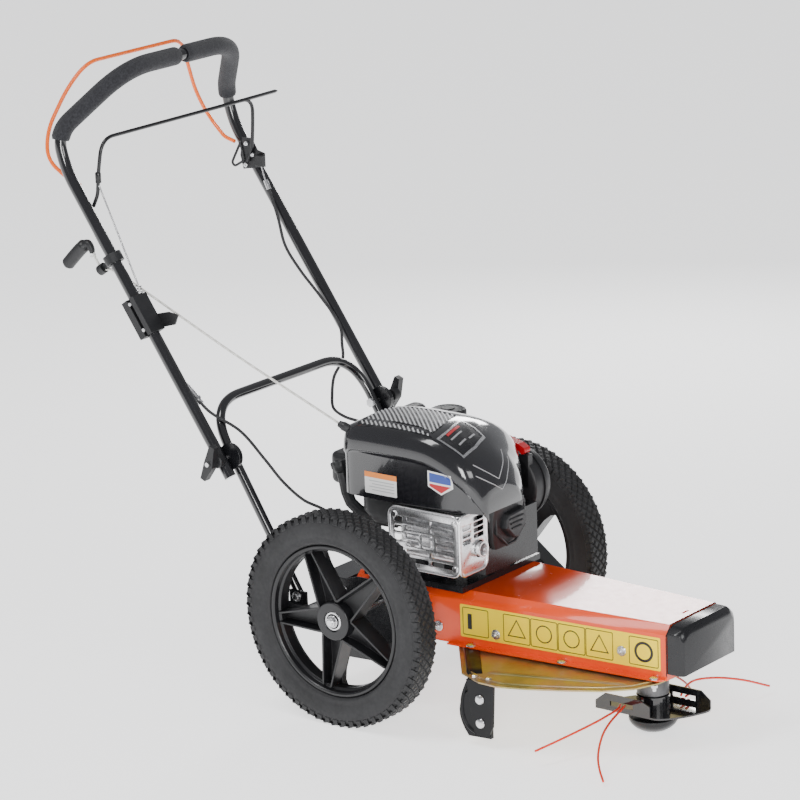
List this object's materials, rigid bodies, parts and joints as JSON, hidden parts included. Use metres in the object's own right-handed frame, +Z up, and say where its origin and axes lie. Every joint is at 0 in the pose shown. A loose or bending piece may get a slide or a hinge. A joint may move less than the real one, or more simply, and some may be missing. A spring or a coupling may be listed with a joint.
{
  "type": "wheeled string trimmer",
  "caption": "Walk-behind wheeled string trimmer: petrol engine on a low deck, two spoked wheels, belt-driven cutting head with nylon lines, folding handle with bails.",
  "frame": {"origin": "on the ground, centred under the overall box", "axes": "+Z up; the cutting head faces -Y and the operator stands at +Y; -X is the operator's right-hand side"},
  "size_m": [0.5386, 1.1708, 1.0285],
  "materials": {
    "orange_paint": "glossy powder coat",
    "black_paint": "satin powder coat",
    "black_plastic": "fine-grained moulded plastic",
    "gloss_black": "polished moulded plastic",
    "rim_plastic": "satin moulded plastic",
    "tyre_rubber": "matt rubber with moulded tread",
    "belt_rubber": "matt rubber",
    "grip_foam": "closed-cell foam",
    "steel": "bright zinc plate",
    "cast_metal": "as-cast, slightly rough",
    "stamped_silver": "stamped bright sheet",
    "guard_zinc": "yellow zinc plate",
    "red_plastic": "moulded plastic",
    "line_nylon": "translucent nylon",
    "rope_fibre": "braided cord",
    "sticker_yellow": "printed vinyl",
    "sticker_white": "printed vinyl"
  },
  "bodies": {
    "chassis": {"air_filter_cover": "black_plastic", "air_filter_housing": "black_plastic", "axle": "steel", "axle_nut_left": "steel", "axle_nut_right": "steel", "clamp_bolt_left": "steel", "clamp_bolt_right": "steel", "clamp_left": "black_plastic", "clamp_right": "black_plastic", "cylinder_cover": "black_plastic", "deck_housing": "orange_paint", "drive_belt": "belt_rubber", "drive_cable": "black_plastic", "engine_crankcase": "black_plastic", "engine_shroud": "gloss_black", "front_belt_cover": "black_paint", "fuel_tank": "black_plastic", "gearbox": "cast_metal", "head_belt": "belt_rubber", "lower_handle": "black_paint", "muffler": "steel", "muffler_guard": "stamped_silver", "oil_filler_tube": "black_plastic", "rear_frame": "black_paint", "skid_bracket": "black_paint", "spindle_housing": "cast_metal", "starter_rope": "rope_fibre", "stone_guard": "guard_zinc", "throttle_cable": "black_plastic"},
    "upper_handle": {"upper_handle": "black_paint", "grip_left": "grip_foam", "grip_right": "grip_foam", "throttle_box": "black_plastic", "rope_guide": "steel"},
    "operator_bail": {"operator_bail": "orange_paint"},
    "drive_bail": {"drive_bail": "black_paint"},
    "throttle_lever": {"throttle_lever": "black_plastic"},
    "starter_grip": {"starter_grip": "black_plastic"},
    "wheel_left": {"tyre_left": "tyre_rubber", "wheel_rim_left": "rim_plastic"},
    "wheel_right": {"tyre_right": "tyre_rubber", "wheel_rim_right": "rim_plastic"},
    "engine_shaft": {"crankshaft": "steel", "engine_pulley": "cast_metal"},
    "cutting_head": {"spindle_shaft": "steel", "spindle_pulley": "cast_metal", "trimmer_head": "gloss_black", "glide_cup": "black_plastic", "trimmer_line_1": "line_nylon", "trimmer_line_2": "line_nylon", "trimmer_line_3": "line_nylon", "trimmer_line_4": "line_nylon"},
    "gearbox_pulley": {"gearbox_pulley": "cast_metal"},
    "idler_arm": {"idler_arm": "steel"},
    "idler_pulley": {"idler_pulley": "black_plastic"},
    "clamp_knob_left": {"clamp_knob_left": "black_plastic"},
    "clamp_knob_right": {"clamp_knob_right": "black_plastic"},
    "fuel_cap": {"fuel_cap": "black_plastic"},
    "dipstick_cap": {"dipstick_cap": "black_plastic"},
    "air_filter_latch": {"air_filter_latch": "red_plastic"}
  },
  "joints": [
    {"name": "handle_fold", "type": "hinge", "parent": "chassis", "child": "upper_handle", "pos_m": [0, 0.21506, 0.401], "axis": [1, 0, 0], "range_deg": [0, 112], "deforming": ["throttle_cable", "drive_cable", "starter_rope"]},
    {"name": "operator_bail_squeeze", "type": "hinge", "parent": "upper_handle", "child": "operator_bail", "pos_m": [0, 0.51006, 0.824], "axis": [1, 0, 0], "range_deg": [0, 22], "stiffness_Nm_per_rad": 3, "springref_deg": -5.73},
    {"name": "drive_bail_squeeze", "type": "hinge", "parent": "upper_handle", "child": "drive_bail", "pos_m": [0, 0.48306, 0.791], "axis": [1, 0, 0], "range_deg": [-22, 0], "stiffness_Nm_per_rad": 3, "springref_deg": 5.73},
    {"name": "throttle_lever_turn", "type": "hinge", "parent": "upper_handle", "child": "throttle_lever", "pos_m": [-0.198, 0.36788, 0.61347], "axis": [1, 0, 0], "range_deg": [-20, 25]},
    {"name": "starter_pull", "type": "slide", "parent": "upper_handle", "child": "starter_grip", "axis": [0, 0.848, 0.53], "range_m": [0, 0.5], "stiffness_N_per_m": 20, "springref_m": -0.1},
    {"name": "wheel_left_spin", "type": "hinge", "parent": "chassis", "child": "wheel_left", "pos_m": [0.24, -0.03594, 0.178], "axis": [1, 0, 0], "continuous": true},
    {"name": "wheel_right_spin", "type": "hinge", "parent": "chassis", "child": "wheel_right", "pos_m": [-0.24, -0.03594, 0.178], "axis": [1, 0, 0], "continuous": true},
    {"name": "engine_spin", "type": "hinge", "parent": "chassis", "child": "engine_shaft", "pos_m": [0, -0.09594, 0.165], "axis": [0, 0, 1], "continuous": true},
    {"name": "head_spin", "type": "hinge", "parent": "chassis", "child": "cutting_head", "pos_m": [0, -0.47594, 0.1], "axis": [0, 0, 1], "continuous": true},
    {"name": "gearbox_spin", "type": "hinge", "parent": "chassis", "child": "gearbox_pulley", "pos_m": [0, 0.02606, 0.127], "axis": [0, 0, 1], "continuous": true},
    {"name": "idler_swing", "type": "hinge", "parent": "chassis", "child": "idler_arm", "pos_m": [0.066, -0.31094, 0.176], "axis": [0, 0, 1], "range_deg": [-8, 0], "stiffness_Nm_per_rad": 2, "springref_deg": 11.46},
    {"name": "idler_spin", "type": "hinge", "parent": "idler_arm", "child": "idler_pulley", "pos_m": [0.0589, -0.23594, 0.165], "axis": [0, 0, 1], "continuous": true},
    {"name": "knob_left_turn", "type": "hinge", "parent": "chassis", "child": "clamp_knob_left", "pos_m": [0.24, 0.21506, 0.401], "axis": [1, 0, 0], "continuous": true},
    {"name": "knob_right_turn", "type": "hinge", "parent": "chassis", "child": "clamp_knob_right", "pos_m": [-0.24, 0.21506, 0.401], "axis": [1, 0, 0], "continuous": true},
    {"name": "fuel_cap_turn", "type": "hinge", "parent": "chassis", "child": "fuel_cap", "pos_m": [0.127, 0.01106, 0.427], "axis": [0, 0, 1], "range_deg": [0, 270]},
    {"name": "dipstick_turn", "type": "hinge", "parent": "chassis", "child": "dipstick_cap", "pos_m": [-0.122, 0.04206, 0.391], "axis": [-0.0184, 0.294, 0.9556], "range_deg": [0, 270]},
    {"name": "latch_open", "type": "hinge", "parent": "chassis", "child": "air_filter_latch", "pos_m": [0.1, -0.16394, 0.393], "axis": [1, 0, 0], "range_deg": [0, 95]}
  ],
  "couplings": [
    {"joint": "head_spin", "follows": "engine_spin", "ratio": 1.125},
    {"joint": "gearbox_spin", "follows": "engine_spin", "ratio": 0.5909},
    {"joint": "idler_spin", "follows": "engine_spin", "ratio": -2}
  ]
}
